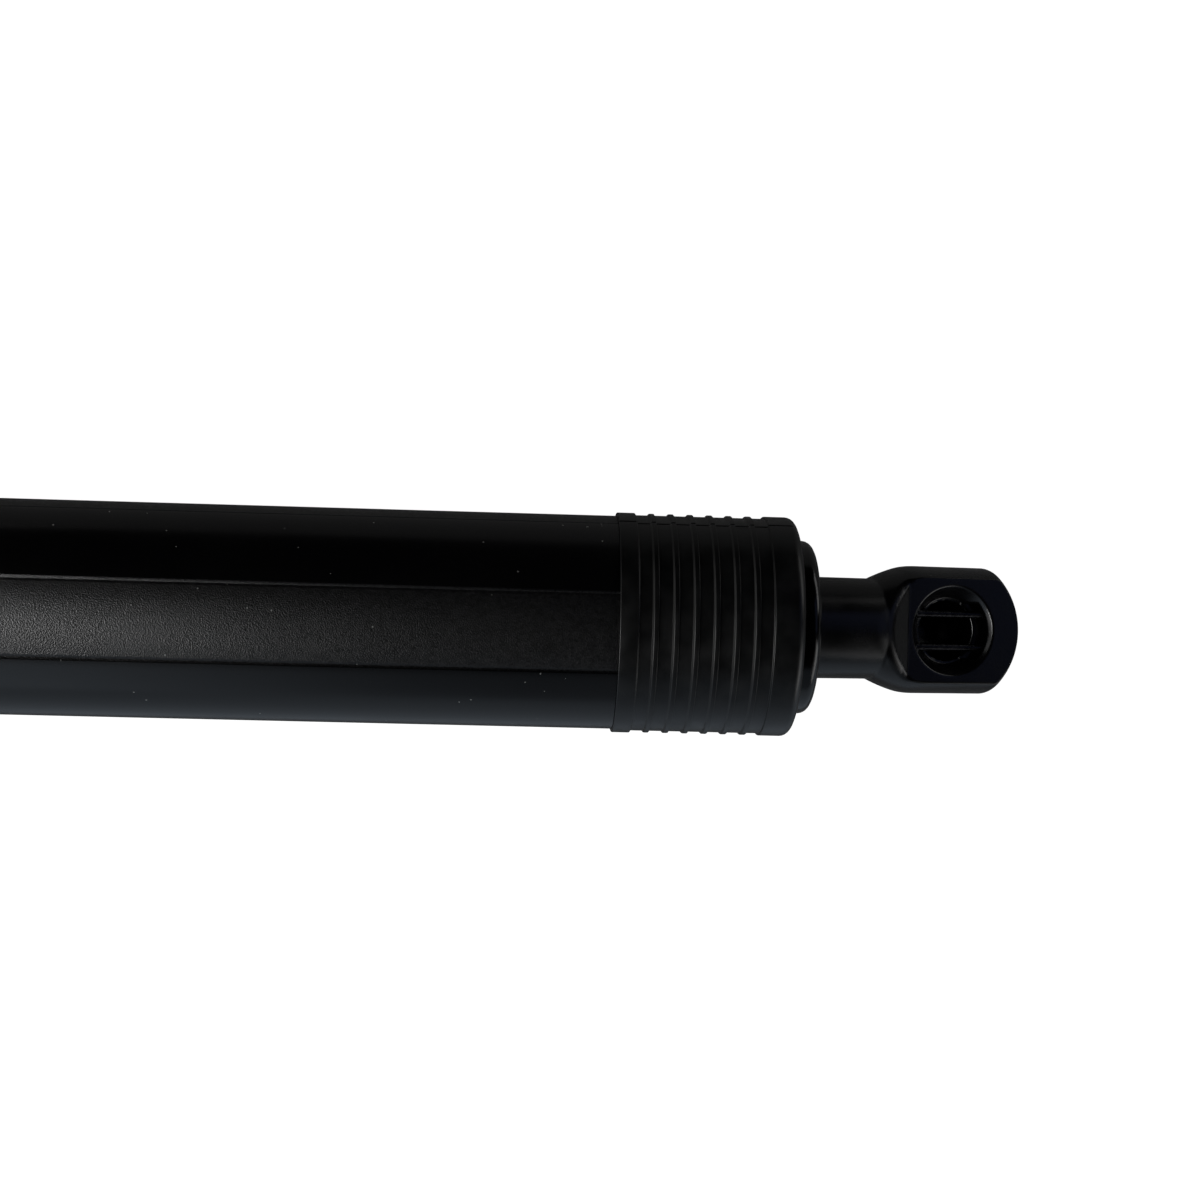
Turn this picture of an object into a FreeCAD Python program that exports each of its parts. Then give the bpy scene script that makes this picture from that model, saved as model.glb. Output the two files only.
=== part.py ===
import FreeCAD, Part
import math
import os

# Power liftgate strut, stored retracted. Lengths are in millimetres.
# X runs along the strut from the body end to the lid end. Z is the side that both ball
# pockets open on. The origin is the ball centre of the body-end socket.
# Pieces are laid out along X in the order in which they are stacked in the real strut.

# Travel
stroke = 200.0
leastTubeOverlap = 24.0

# Clearances, and how far a cutting shape reaches past the material
runningGap = 0.05
slidingGap = 0.3
axialGap = 0.4
cutterExtra = 1.0

# Ball sockets, the same moulding at both ends
ballRadius = 5.0
neckRadius = 8.3
headRadius = 10.6
headThickness = 12.2
domeRadius = 13.6
fittingReach = 23.3
flareEndBeforeBall = 6.2
flareLength = 6.4
flareShoulder = 3.7
flareDrop = 0.65
flatStartBeforeBall = 8.2
rampRun = 4.4
mouthRadius = 7.4
throatRadius = 5.45
mouthDepth = 1.5
spigotRadius = 4.6
spigotLength = 6.5
lidFittingCant = 15.0

# Retaining clip in each socket
clipWireRadius = 0.6
clipArmOffset = 2.75
clipHeight = 4.2
clipBowCentre = 10.4
clipArmReach = 7.2
clipSlotWidth = 9.0
clipSlotHeight = 1.7
clipSlotStart = 3.0

# Body-end cap and its cable gland
capLength = 20.7
capEdge = 1.5
plugLength = 12.0
plugWall = 2.1
capFloor = 8.7
glandFromFace = 14.7
glandBoreRadius = 2.6
glandNeckRadius = 4.0
glandFlangeRadius = 5.4
glandFlangeThickness = 1.6
glandLength = 8.0
glandNoseLength = 3.2
glandSeatDepth = 1.0

# Housing tube
housingRadius = 15.2
housingWall = 1.6
ringGrooveDepth = 0.5

# Circuit board with the turn counter
boardThickness = 1.6
boardEdgeGap = 0.15
boardWidth = 10.0
sensorSize = 3.0
sensorHeight = 0.8
sensorMagnetRadius = 4.0
sensorMagnetLength = 1.8
magnetToSensor = 0.6

# Motor
motorCanWall = 1.2
motorLength = 64.0
motorShaftRadius = 1.5
frontBossRadius = 4.7
frontBossLength = 4.0
endBellThickness = 5.0
brushHolderLength = 8.5
brushHolderBore = 5.5
brushWidth = 3.0
brushLength = 5.0
brushTop = 9.0
commutatorRadius = 4.0
commutatorLength = 7.0
armatureRadius = 9.3
armatureLength = 34.0
armatureCoreRadius = 4.2
windingRadius = 8.8
windingOverhang = 3.0
windingSlotAngle = 30.0
windingSlots = 5
armatureEndGap = 0.6
magnetThickness = 2.6
magnetAngle = 120.0
magnetLength = 38.0

# Planetary gearbox, two stages in one toothed sleeve
gearModule = 0.5
pressureAngle = math.radians(25.0)
sunTeeth = 12
planetTeeth = 15
planetCount = 3
toothSideGap = 0.03
toothTipHeight = 1.0
toothRootDepth = 1.25
pinRadius = 1.2
firstStageWidth = 6.0
secondStageWidth = 8.0
firstCarrierThickness = 3.0
secondCarrierThickness = 4.0
carrierRadius = 9.4
gearPlateThickness = 3.0
gearPlateBore = 5.0
secondSunStubRadius = 2.0

# Friction brake
brakeWallThickness = 2.0
brakeCavityRadius = 10.8
brakeRotorRadius = 10.2
brakeRotorThickness = 5.0
brakeHubRadius = 6.0
brakeHubLength = 6.4

# Spindle and its bearing
spindleRadius = 4.5
journalRadius = 4.0
bearingRadius = 11.0
bearingWidth = 7.0
bearingInnerRadius = 6.4
bearingOuterBore = 9.0
supportBore = 6.6
supportShoulder = 2.0
spindleCollarRadius = 5.8
spindleCollarLength = 1.6
tipBushLength = 5.0
tipJournalRadius = 3.0
tipEndLength = 1.0

# Guide tube and nut
guideRadius = 9.0
guideWall = 1.2
guideSeatLength = 7.0
guideRibHeight = 0.8
guideRibAngle = 16.0
nutFromSeat = 4.0
nutLength = 20.0
nutSpigotLength = 8.0
pushTubeRadius = 6.6
pushTubeWall = 1.2
guideBushLength = 8.0
nutStopMargin = 6.0
endStopGap = 3.0

# Lift spring, the space that its coils fill
springBore = 10.0
springRadius = 12.6

# Lid-end plug, ribbed collar and cover tube
coverRadius = 17.5
coverWall = 1.8
stripDepth = 0.2
stripAngle = 43.3
stripCount = 4
stripTurn = 4.7
shoulderRadius = 14.1
shoulderHeight = 3.1
shoulderEdge = 1.0
plugBodyLength = 11.6
pushTubeSeatLength = 6.0
collarLength = 28.8
collarSpigotLength = 7.0
bandHeight = 0.35
ribHeight = 0.3
firstBandLength = 2.9
firstRibStart = 5.0
ribPitch = 3.14
ribWidth = 1.0
ribCount = 6
endBandLength = 4.9
endBandEdge = 0.9
housingToSpigotGap = 3.8
guideRingStart = 2.0
guideRingWidth = 6.0

vector = FreeCAD.Vector
alongX = vector(1, 0, 0)
alongY = vector(0, 1, 0)
alongZ = vector(0, 0, 1)
centre = vector(0, 0, 0)


# Shapes that several pieces share

def turned(outline):
    # Turns an outline of (x, radius) points about the X axis.
    points = [vector(x, radius, 0) for x, radius in outline]
    return Part.Face(Part.makePolygon(points + points[:1])).revolve(centre, alongX, 360)


def ring(start, end, innerRadius, outerRadius):
    return turned([(start, innerRadius), (end, innerRadius), (end, outerRadius), (start, outerRadius)])


def rod(start, end, radius):
    return Part.makeCylinder(radius, end - start, vector(start, 0, 0), alongX)


def atAngle(x, radius, angle):
    # A point at an angle in degrees from +Y towards +Z.
    turn = math.radians(angle)
    return vector(x, radius * math.cos(turn), radius * math.sin(turn))


def sector(start, end, innerRadius, outerRadius, middleAngle, width):
    # Part of a ring, as wide as the given angle.
    low = middleAngle - width / 2
    high = middleAngle + width / 2
    outer = [atAngle(start, outerRadius, angle) for angle in (low, middleAngle, high)]
    inner = [atAngle(start, innerRadius, angle) for angle in (high, middleAngle, low)]
    edges = [
        Part.Arc(*outer).toShape(),
        Part.LineSegment(outer[2], inner[0]).toShape(),
        Part.Arc(*inner).toShape(),
        Part.LineSegment(inner[2], outer[0]).toShape(),
    ]
    return Part.Face(Part.Wire(edges)).extrude(vector(end - start, 0, 0))


def block(xRange, yRange, zRange):
    size = [high - low for low, high in (xRange, yRange, zRange)]
    return Part.makeBox(*size, vector(xRange[0], yRange[0], zRange[0]))


def gear(start, end, teeth, sideGap, innerToRoot, tip, turn, offset):
    # Toothed prism with a tooth at the angle turn. Involute flanks are taken at the root,
    # pitch and tip circles, so the short chords lie inside the true flank.
    pitch = gearModule * teeth / 2
    base = pitch * math.cos(pressureAngle)
    pitchInvolute = math.tan(pressureAngle) - pressureAngle
    flank = []
    for radius in (pitch - innerToRoot, pitch, pitch + tip):
        rolled = math.acos(min(1.0, base / radius))
        half = math.pi / (2 * teeth) - sideGap / pitch + pitchInvolute - math.tan(rolled) + rolled
        flank.append((radius, math.degrees(half)))
    points = []
    for tooth in range(teeth):
        middle = turn + 360.0 * tooth / teeth
        points += [atAngle(start, radius, middle - half) for radius, half in flank]
        points += [atAngle(start, radius, middle + half) for radius, half in reversed(flank)]
    shape = Part.Face(Part.makePolygon(points + points[:1])).extrude(vector(end - start, 0, 0))
    shape.translate(offset)
    return shape


def save(name, *solids):
    shape = solids[0] if len(solids) == 1 else Part.makeCompound(list(solids))
    shape.exportStep("parts/" + name + ".step")


os.makedirs("parts", exist_ok=True)

# Ball socket. It is drawn about its own axis from the neck's seat at the origin, then
# canted about that point, trimmed at the seat plane and carried to its end of the strut.

flat = headThickness / 2
pocketRadius = ballRadius + runningGap
flareEnd = fittingReach - flareEndBeforeBall
flareStart = flareEnd - flareLength
headEnd = fittingReach + domeRadius


def headBody():
    # Neck, swelling flare and round head, turned about the fitting's own axis. The end is
    # a dome round the ball centre.
    rootOverlap = neckRadius
    domeStart = math.sqrt(domeRadius ** 2 - headRadius ** 2)
    domeTurn = math.atan2(headRadius, domeStart) / 2
    outline = [
        (headEnd, 0), (-rootOverlap, 0), (-rootOverlap, neckRadius), (flareStart, neckRadius),
        (flareStart + flareShoulder, headRadius - flareDrop), (flareEnd, headRadius),
        (fittingReach + domeStart, headRadius)]
    points = [vector(x, radius, 0) for x, radius in outline]
    domeMiddle = vector(
        fittingReach + domeRadius * math.cos(domeTurn), domeRadius * math.sin(domeTurn), 0)
    dome = Part.Arc(points[-1], domeMiddle, points[0]).toShape()
    body = Part.Face(Part.Wire(Part.makePolygon(points).Edges + [dome])).revolve(centre, alongX, 360)
    # A flat on each side, reached from the neck by a sloping ramp.
    flatStart = fittingReach - flatStartBeforeBall
    slope = rampRun / (neckRadius - flat)
    above = headRadius + cutterExtra
    side = Part.makePolygon([
        vector(flatStart, -above, flat),
        vector(headEnd + cutterExtra, -above, flat),
        vector(headEnd + cutterExtra, -above, above),
        vector(flatStart - slope * (above - flat), -above, above),
        vector(flatStart, -above, flat),
    ])
    cutter = Part.Face(side).extrude(vector(0, 2 * above, 0))
    other = cutter.mirror(centre, alongZ)
    return body.cut(cutter).cut(other)


def ballPocket():
    # Pocket with a tapered mouth, turned about the ball's Z line. The wall, the 45 degree
    # cone and the floor each touch the ball's clearance sphere.
    mouth = flat - mouthDepth
    taper = (mouthRadius - throatRadius) / mouthDepth
    coneReach = pocketRadius * math.tan(math.radians(22.5))
    outline = [
        (coneReach, -pocketRadius), (pocketRadius, -coneReach), (pocketRadius, mouth),
        (throatRadius, mouth), (mouthRadius + taper * cutterExtra, flat + cutterExtra),
        (0, flat + cutterExtra), (0, -pocketRadius)]
    points = [vector(radius, 0, z) for radius, z in outline]
    pocket = Part.Face(Part.makePolygon(points + points[:1])).revolve(centre, alongZ, 360)
    pocket.translate(vector(fittingReach, 0, 0))
    return pocket


def clipShape():
    # One bent wire: two straight arms joined across the head's free end.
    bowX = fittingReach + clipBowCentre
    armEnd = fittingReach - clipArmReach
    corners = [
        vector(armEnd, -clipArmOffset, clipHeight), vector(bowX, -clipArmOffset, clipHeight),
        vector(bowX, clipArmOffset, clipHeight), vector(armEnd, clipArmOffset, clipHeight)]
    section = Part.Wire(Part.makeCircle(clipWireRadius, corners[0], alongX))
    sharpCorners = 1
    return Part.makePolygon(corners).makePipeShell([section], True, False, sharpCorners)


def clipSpace():
    # Blind guide holes for the arm tips and the slot that the bow lies in.
    holeRadius = clipWireRadius + runningGap
    tipX = fittingReach - clipArmReach - slidingGap
    holes = [
        Part.makeCylinder(
            holeRadius, fittingReach - tipX, vector(tipX, side * clipArmOffset, clipHeight), alongX)
        for side in (-1, 1)
    ]
    slot = block(
        (fittingReach + clipSlotStart, headEnd + cutterExtra),
        (-clipSlotWidth / 2, clipSlotWidth / 2),
        (clipHeight - clipSlotHeight / 2, clipHeight + clipSlotHeight / 2))
    return holes[0].fuse(holes[1]).fuse(slot)


def placed(shape, cant, seatX, halfTurn):
    shape.rotate(centre, alongY, cant)
    if halfTurn:
        shape.rotate(centre, alongZ, 180)
    shape.translate(vector(seatX, 0, 0))
    return shape


def spigot():
    # Round tail that fixes the fitting in its plug. It starts inside the neck.
    insideNeck = spigotRadius / 2
    return Part.makeCylinder(spigotRadius, spigotLength + insideNeck, vector(-spigotLength, 0, 0), alongX)


def ballSocket(cant, seatX, halfTurn):
    head = headBody().cut(ballPocket()).cut(clipSpace())
    head.rotate(centre, alongY, cant)
    far = 3 * headRadius
    head = head.cut(block((-far, 0), (-far, far), (-far, far)))
    head.rotate(centre, alongY, -cant)
    return placed(head.fuse(spigot()).removeSplitter(), cant, seatX, halfTurn)


# Body end: socket, cap and cable gland

capFaceX = fittingReach
housingStart = capFaceX + capLength
plugEnd = housingStart + plugLength
housingBore = housingRadius - housingWall
plugBore = housingBore - plugWall
save("lower_ball_socket", ballSocket(0.0, capFaceX, True))
save("lower_clip", placed(clipShape(), 0.0, capFaceX, True))

glandX = capFaceX + glandFromFace
glandSeat = housingRadius - glandSeatDepth
glandInner = glandSeat + glandFlangeThickness + glandNoseLength - glandLength
lowerCap = turned([
    (capFaceX, 0), (capFaceX, housingRadius - capEdge), (capFaceX + capEdge, housingRadius),
    (housingStart, housingRadius),
    (housingStart, housingBore), (plugEnd, housingBore), (plugEnd, plugBore),
    (capFaceX + capFloor, plugBore), (capFaceX + capFloor, 0)])
lowerCap = lowerCap.cut(placed(spigot(), 0.0, capFaceX, True))
lowerCap = lowerCap.cut(
    Part.makeCylinder(glandNeckRadius, housingRadius, vector(glandX, 0, 0), alongY))
lowerCap = lowerCap.cut(
    Part.makeCylinder(glandFlangeRadius + slidingGap, housingRadius, vector(glandX, glandSeat, 0), alongY))
save("lower_end_cap", lowerCap)

gland = Part.makeCylinder(glandNeckRadius, glandLength, vector(glandX, glandInner, 0), alongY)
gland = gland.fuse(
    Part.makeCylinder(glandFlangeRadius, glandFlangeThickness, vector(glandX, glandSeat, 0), alongY))
gland = gland.cut(
    Part.makeCylinder(glandBoreRadius, glandLength, vector(glandX, glandInner, 0), alongY))
save("cable_gland", gland.removeSplitter())

# Circuit board, a strip seated across the rim of the cap's plug

boardEnd = plugEnd + boardThickness
boardReach = math.sqrt(housingBore ** 2 - (boardWidth / 2) ** 2) - boardEdgeGap
board = block((plugEnd, boardEnd), (-boardReach, boardReach), (-boardWidth / 2, boardWidth / 2))
sensor = block((boardEnd, boardEnd + sensorHeight), (-sensorSize / 2, sensorSize / 2),
               (-sensorSize / 2, sensorSize / 2))
save("sensor_board", board.fuse(sensor))

# Motor

shaftStart = boardEnd + sensorHeight + magnetToSensor
motorStart = shaftStart + sensorMagnetLength + slidingGap
motorEnd = motorStart + motorLength
motorCanRadius = housingBore
canBore = motorCanRadius - motorCanWall
frontWall = motorEnd - motorCanWall
frontBoss = motorEnd - frontBossLength
bushBore = motorShaftRadius + runningGap
save("motor_can", turned([
    (motorStart, canBore), (frontWall, canBore), (frontWall, frontBossRadius),
    (frontBoss, frontBossRadius), (frontBoss, bushBore), (motorEnd, bushBore),
    (motorEnd, motorCanRadius), (motorStart, motorCanRadius)]))

holderEnd = motorStart + endBellThickness + brushHolderLength
commutatorStart = motorStart + endBellThickness + (brushHolderLength - commutatorLength) / 2
brushStart = commutatorStart + (commutatorLength - brushLength) / 2
endBell = turned([
    (motorStart, bushBore), (motorStart + endBellThickness, bushBore),
    (motorStart + endBellThickness, brushHolderBore), (holderEnd, brushHolderBore),
    (holderEnd, canBore), (motorStart, canBore)])
brushes = []
for side in (-1, 1):
    reach = sorted((side * (commutatorRadius + runningGap), side * brushTop))
    brush = block((brushStart, brushStart + brushLength), reach, (-brushWidth / 2, brushWidth / 2))
    endBell = endBell.cut(brush)
    brushes.append(brush)
save("motor_end_bell", endBell)
save("motor_brushes", *brushes)

armatureStart = holderEnd + windingOverhang + armatureEndGap
armatureEnd = armatureStart + armatureLength
magnetStart = (armatureStart + armatureEnd - magnetLength) / 2
save("motor_magnets", *[
    sector(magnetStart, magnetStart + magnetLength, canBore - magnetThickness, canBore, angle, magnetAngle)
    for angle in (90.0, 270.0)])

armatureCore = ring(armatureStart, armatureEnd, motorShaftRadius, armatureRadius)
windings = ring(armatureStart - windingOverhang, armatureStart, armatureCoreRadius, windingRadius)
windings = windings.fuse(
    ring(armatureEnd, armatureEnd + windingOverhang, armatureCoreRadius, windingRadius))
for slot in range(windingSlots):
    angle = 360.0 * slot / windingSlots
    armatureCore = armatureCore.cut(sector(
        armatureStart, armatureEnd, armatureCoreRadius, armatureRadius + cutterExtra, angle,
        windingSlotAngle))
    windings = windings.fuse(sector(
        armatureStart, armatureEnd, armatureCoreRadius, windingRadius, angle, windingSlotAngle))
save("armature_core", armatureCore)
save("armature_windings", windings.removeSplitter())
save("commutator", ring(
    commutatorStart, commutatorStart + commutatorLength, motorShaftRadius, commutatorRadius))
save("sensor_magnet", ring(
    shaftStart, shaftStart + sensorMagnetLength, motorShaftRadius, sensorMagnetRadius))

# Gearbox

sunPitch = gearModule * sunTeeth / 2
planetPitch = gearModule * planetTeeth / 2
ringTeeth = sunTeeth + 2 * planetTeeth
ringPitch = gearModule * ringTeeth / 2
planetOrbit = sunPitch + planetPitch
tipHeight = gearModule * toothTipHeight
rootDepth = gearModule * toothRootDepth

plateEnd = motorEnd + gearPlateThickness
firstPlanetStart = plateEnd + axialGap
firstPlanetEnd = firstPlanetStart + firstStageWidth
firstCarrierStart = firstPlanetEnd + axialGap
firstCarrierEnd = firstCarrierStart + firstCarrierThickness
secondPlanetStart = firstCarrierEnd + axialGap
secondPlanetEnd = secondPlanetStart + secondStageWidth
secondCarrierStart = secondPlanetEnd + axialGap
secondCarrierEnd = secondCarrierStart + secondCarrierThickness
sleeveEnd = secondCarrierEnd + axialGap

toothSpace = gear(plateEnd, sleeveEnd, ringTeeth, -toothSideGap, tipHeight, rootDepth, 0.0, centre)
ringSleeve = rod(motorEnd, sleeveEnd, housingBore).cut(toothSpace)
save("ring_gear_sleeve", ringSleeve.cut(rod(motorEnd, plateEnd, gearPlateBore)))

save("motor_shaft", rod(shaftStart, firstPlanetEnd, motorShaftRadius))
sunStart = motorEnd + gearPlateThickness / 2
firstSun = gear(sunStart, firstPlanetEnd, sunTeeth, toothSideGap, rootDepth, tipHeight, 0.0, centre)
save("first_sun_gear", firstSun.cut(rod(sunStart, firstPlanetEnd, motorShaftRadius)))

secondSun = gear(firstCarrierEnd, secondPlanetEnd, sunTeeth, toothSideGap, rootDepth, tipHeight, 0.0, centre)
save("second_sun_gear", secondSun.fuse(rod(firstCarrierStart, firstCarrierEnd, secondSunStubRadius)))


def pins(start, end):
    solids = []
    for index in range(planetCount):
        spot = atAngle(start, planetOrbit, 360.0 * index / planetCount)
        solids.append(Part.makeCylinder(pinRadius, end - start, spot, alongX))
    return solids


def planets(stage, start, end):
    for index in range(planetCount):
        angle = 360.0 * index / planetCount
        spot = atAngle(0, planetOrbit, angle)
        planet = gear(start, end, planetTeeth, toothSideGap, rootDepth, tipHeight, angle, spot)
        bore = Part.makeCylinder(
            pinRadius + runningGap, end - start, spot.add(vector(start, 0, 0)), alongX)
        save("planet_" + stage + "_" + str(index + 1), planet.cut(bore))


planets("first", firstPlanetStart, firstPlanetEnd)
planets("second", secondPlanetStart, secondPlanetEnd)

firstCarrier = ring(firstCarrierStart, firstCarrierEnd, secondSunStubRadius, carrierRadius)
for pin in pins(firstPlanetStart, firstCarrierStart):
    firstCarrier = firstCarrier.fuse(pin)
save("first_carrier", firstCarrier)

hubEnd = secondCarrierEnd + brakeHubLength
secondCarrier = turned([
    (secondCarrierStart, 0), (secondCarrierStart, carrierRadius), (secondCarrierEnd, carrierRadius),
    (secondCarrierEnd, brakeHubRadius), (hubEnd, brakeHubRadius), (hubEnd, journalRadius),
    (secondCarrierEnd, journalRadius), (secondCarrierEnd, 0)])
for pin in pins(secondPlanetStart, secondCarrierStart):
    secondCarrier = secondCarrier.fuse(pin)
save("second_carrier", secondCarrier)

# Friction brake

brakeRotorStart = hubEnd
brakeRotorEnd = brakeRotorStart + brakeRotorThickness
brakeEnd = brakeRotorEnd + axialGap
save("brake_rotor", ring(brakeRotorStart, brakeRotorEnd, journalRadius, brakeRotorRadius))
brakeBore = brakeHubRadius + axialGap
wallEnd = sleeveEnd + brakeWallThickness
save("brake_housing", turned([
    (sleeveEnd, brakeBore), (wallEnd, brakeBore), (wallEnd, brakeCavityRadius),
    (brakeEnd, brakeCavityRadius), (brakeEnd, housingBore), (sleeveEnd, housingBore)]))

# Spindle support and bearing

bearingStart = brakeEnd
bearingEnd = bearingStart + bearingWidth
guideStart = bearingEnd + supportShoulder
supportEnd = guideStart + guideSeatLength
save("spindle_support", turned([
    (bearingStart, bearingRadius), (bearingEnd, bearingRadius), (bearingEnd, supportBore),
    (guideStart, supportBore), (guideStart, guideRadius), (supportEnd, guideRadius),
    (supportEnd, housingBore), (bearingStart, housingBore)]))
save("bearing_outer_ring", ring(bearingStart, bearingEnd, bearingOuterBore, bearingRadius))
save("bearing_inner_ring", ring(bearingStart, bearingEnd, spindleRadius, bearingInnerRadius))

# Nut, push tube and guide tube

guideBore = guideRadius - guideWall
ribTip = guideBore - guideRibHeight
pushTubeBore = pushTubeRadius - pushTubeWall
nutStart = supportEnd - guideSeatLength + nutFromSeat
nutEnd = nutStart + nutLength
nutSpigotEnd = nutEnd + nutSpigotLength
guideBushStart = nutEnd + stroke + nutStopMargin
guideEnd = guideBushStart + guideBushLength
tipBushStart = nutSpigotEnd + stroke + axialGap
tipBushEnd = tipBushStart + tipBushLength

guideTube = ring(guideStart, guideEnd, guideBore, guideRadius)
nutBore = spindleRadius + runningGap
spindleNut = turned([
    (nutStart, nutBore), (nutSpigotEnd, nutBore), (nutSpigotEnd, pushTubeBore),
    (nutEnd, pushTubeBore), (nutEnd, guideBore - slidingGap), (nutStart, guideBore - slidingGap)])
slotExtra = 2 * math.degrees(slidingGap / ribTip)
for angle in (0.0, 180.0):
    guideTube = guideTube.fuse(sector(
        guideStart, guideBushStart - slidingGap, ribTip, guideBore + guideWall / 2, angle, guideRibAngle))
    spindleNut = spindleNut.cut(sector(
        nutStart, nutEnd, ribTip - slidingGap, guideBore, angle, guideRibAngle + slotExtra))
save("guide_tube", guideTube.removeSplitter())
save("spindle_nut", spindleNut)
save("guide_bush", ring(guideBushStart, guideEnd, pushTubeRadius + runningGap, guideBore))

spindleEnd = tipBushEnd + tipEndLength
save("spindle", turned([
    (secondCarrierEnd, 0), (secondCarrierEnd, journalRadius), (bearingStart, journalRadius),
    (bearingStart, spindleRadius), (bearingEnd, spindleRadius), (bearingEnd, spindleCollarRadius),
    (bearingEnd + spindleCollarLength, spindleCollarRadius),
    (bearingEnd + spindleCollarLength, spindleRadius), (tipBushStart, spindleRadius),
    (tipBushStart, tipJournalRadius), (spindleEnd, tipJournalRadius), (spindleEnd, 0)]))
save("spindle_tip_bush", ring(
    tipBushStart, tipBushEnd, tipJournalRadius, pushTubeBore - runningGap))

# Lift spring, from the spindle support to the lid-end plug. A plain sleeve stands for the
# coils, which nothing shows.

plugStart = max(guideEnd, spindleEnd) + endStopGap
springStart = supportEnd
save("lift_spring", ring(springStart, plugStart, springBore, springRadius))

# Lid end: plug, collar, cover tube and socket

lidSeatX = plugStart + plugBodyLength + shoulderHeight
collarEnd = lidSeatX - shoulderHeight
collarStart = collarEnd - collarLength
spigotStart = collarStart - collarSpigotLength
pushTubeEnd = plugStart + pushTubeSeatLength
coverBore = coverRadius - coverWall
save("push_tube", ring(nutEnd, pushTubeEnd, pushTubeBore, pushTubeRadius))

endPlug = turned([
    (plugStart, pushTubeRadius), (plugStart, shoulderRadius),
    (lidSeatX - shoulderEdge, shoulderRadius),
    (lidSeatX, shoulderRadius - shoulderEdge), (lidSeatX, 0), (pushTubeEnd, 0),
    (pushTubeEnd, pushTubeRadius)])
save("lid_end_plug", endPlug.cut(placed(spigot(), lidFittingCant, lidSeatX, False)))
save("upper_ball_socket", ballSocket(lidFittingCant, lidSeatX, False))
save("upper_clip", placed(clipShape(), lidFittingCant, lidSeatX, False))

bandRadius = coverRadius + bandHeight
ribRadius = coverRadius + ribHeight
collarOutline = [
    (spigotStart, shoulderRadius),
    (collarEnd, shoulderRadius), (collarEnd, bandRadius - endBandEdge),
    (collarEnd - endBandEdge, bandRadius),
    (collarEnd - endBandLength, bandRadius), (collarEnd - endBandLength, coverRadius)]
for index in reversed(range(ribCount)):
    ribStart = collarStart + firstRibStart + ribPitch * index
    collarOutline += [
        (ribStart + ribWidth, coverRadius), (ribStart + ribWidth / 2, ribRadius),
        (ribStart, coverRadius)]
collarOutline += [
    (collarStart + firstBandLength, coverRadius), (collarStart + firstBandLength, bandRadius),
    (collarStart, bandRadius), (collarStart, coverBore), (spigotStart, coverBore)]
save("ribbed_collar", turned(collarOutline))

housingEnd = spigotStart - housingToSpigotGap
coverStart = housingEnd - leastTubeOverlap - stroke
coverTube = ring(coverStart, collarStart, coverBore, coverRadius)
for index in range(stripCount):
    coverTube = coverTube.cut(sector(
        coverStart, collarStart, coverRadius - stripDepth, coverRadius + cutterExtra,
        90 + stripTurn + 360.0 * index / stripCount, stripAngle))
ringStart = coverStart + guideRingStart
ringEnd = ringStart + guideRingWidth
ringSeat = coverBore + ringGrooveDepth
save("cover_tube", coverTube.cut(ring(ringStart, ringEnd, coverBore - cutterExtra, ringSeat)))
save("cover_guide_ring", ring(ringStart, ringEnd, housingRadius + runningGap, ringSeat))

save("housing_tube", ring(housingStart, housingEnd, housingBore, housingRadius))

# Figures for the description of the part

cant = math.radians(lidFittingCant)
print("lid seat X", lidSeatX)
print("lid ball centre", lidSeatX + fittingReach * math.cos(cant), 0.0, -fittingReach * math.sin(cant))
print("gland", glandX, glandInner, glandInner + glandLength)
print("spring", springStart, plugStart)
print("cover", coverStart, collarStart, "housing", housingStart, housingEnd)
print("nut", nutStart, nutEnd, nutSpigotEnd, "spindle end", spindleEnd, "guide end", guideEnd)
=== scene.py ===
import math

import bpy
import numpy as np
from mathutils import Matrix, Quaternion, Vector


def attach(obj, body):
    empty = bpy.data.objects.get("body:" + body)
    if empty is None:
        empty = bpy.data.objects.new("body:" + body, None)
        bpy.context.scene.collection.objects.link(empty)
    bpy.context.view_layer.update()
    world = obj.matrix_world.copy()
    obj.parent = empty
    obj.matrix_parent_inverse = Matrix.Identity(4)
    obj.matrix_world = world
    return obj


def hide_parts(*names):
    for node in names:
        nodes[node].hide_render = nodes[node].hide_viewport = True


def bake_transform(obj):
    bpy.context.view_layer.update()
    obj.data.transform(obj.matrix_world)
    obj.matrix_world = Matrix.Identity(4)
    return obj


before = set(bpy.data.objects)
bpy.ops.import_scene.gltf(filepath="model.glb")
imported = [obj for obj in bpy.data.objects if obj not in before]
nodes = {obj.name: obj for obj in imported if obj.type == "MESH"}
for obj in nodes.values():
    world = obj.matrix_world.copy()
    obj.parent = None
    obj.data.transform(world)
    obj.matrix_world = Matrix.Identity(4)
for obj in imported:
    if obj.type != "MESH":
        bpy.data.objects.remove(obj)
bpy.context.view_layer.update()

# Sizes in the settings below are in millimetres, and meshes are made in metres.
millimetre = 0.001


# Making meshes

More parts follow.
